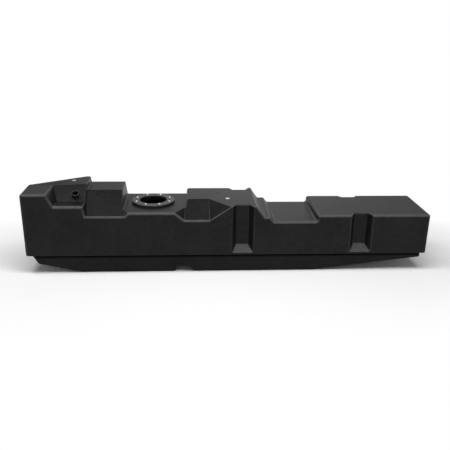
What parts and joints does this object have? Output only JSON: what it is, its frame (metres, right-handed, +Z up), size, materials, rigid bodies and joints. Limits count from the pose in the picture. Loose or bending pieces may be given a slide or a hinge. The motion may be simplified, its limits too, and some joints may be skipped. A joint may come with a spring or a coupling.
{
  "type": "pickup truck fuel tank",
  "caption": "Long hollow moulded fuel tank with stepped top, sloping recesses, strap grooves, a bolted sender ring and a short vent neck.",
  "frame": {"origin": "under the middle of the tank, at the level of the belly's flat bottom", "axes": "+X along the tank from the high end to the low end, +Y from the front face to the back, +Z up"},
  "size_m": [2.1937, 0.368, 0.45],
  "materials": {
    "shell_plastic": "satin black, as moulded",
    "ring_metal": "semi-gloss black coat",
    "gasket_rubber": "dull black",
    "screw_steel": "bright plated",
    "insert_brass": "plain",
    "neck_plastic": "black",
    "grommet_rubber": "dull black",
    "plug_metal": "bright"
  },
  "bodies": {
    "root": {"tank_shell": "shell_plastic", "sender_ring": "ring_metal", "ring_gasket": "gasket_rubber", "ring_screws": "screw_steel", "ring_inserts": "insert_brass", "vent_neck": "neck_plastic", "vent_grommet": "grommet_rubber", "top_plugs": "plug_metal"}
  },
  "joints": []
}
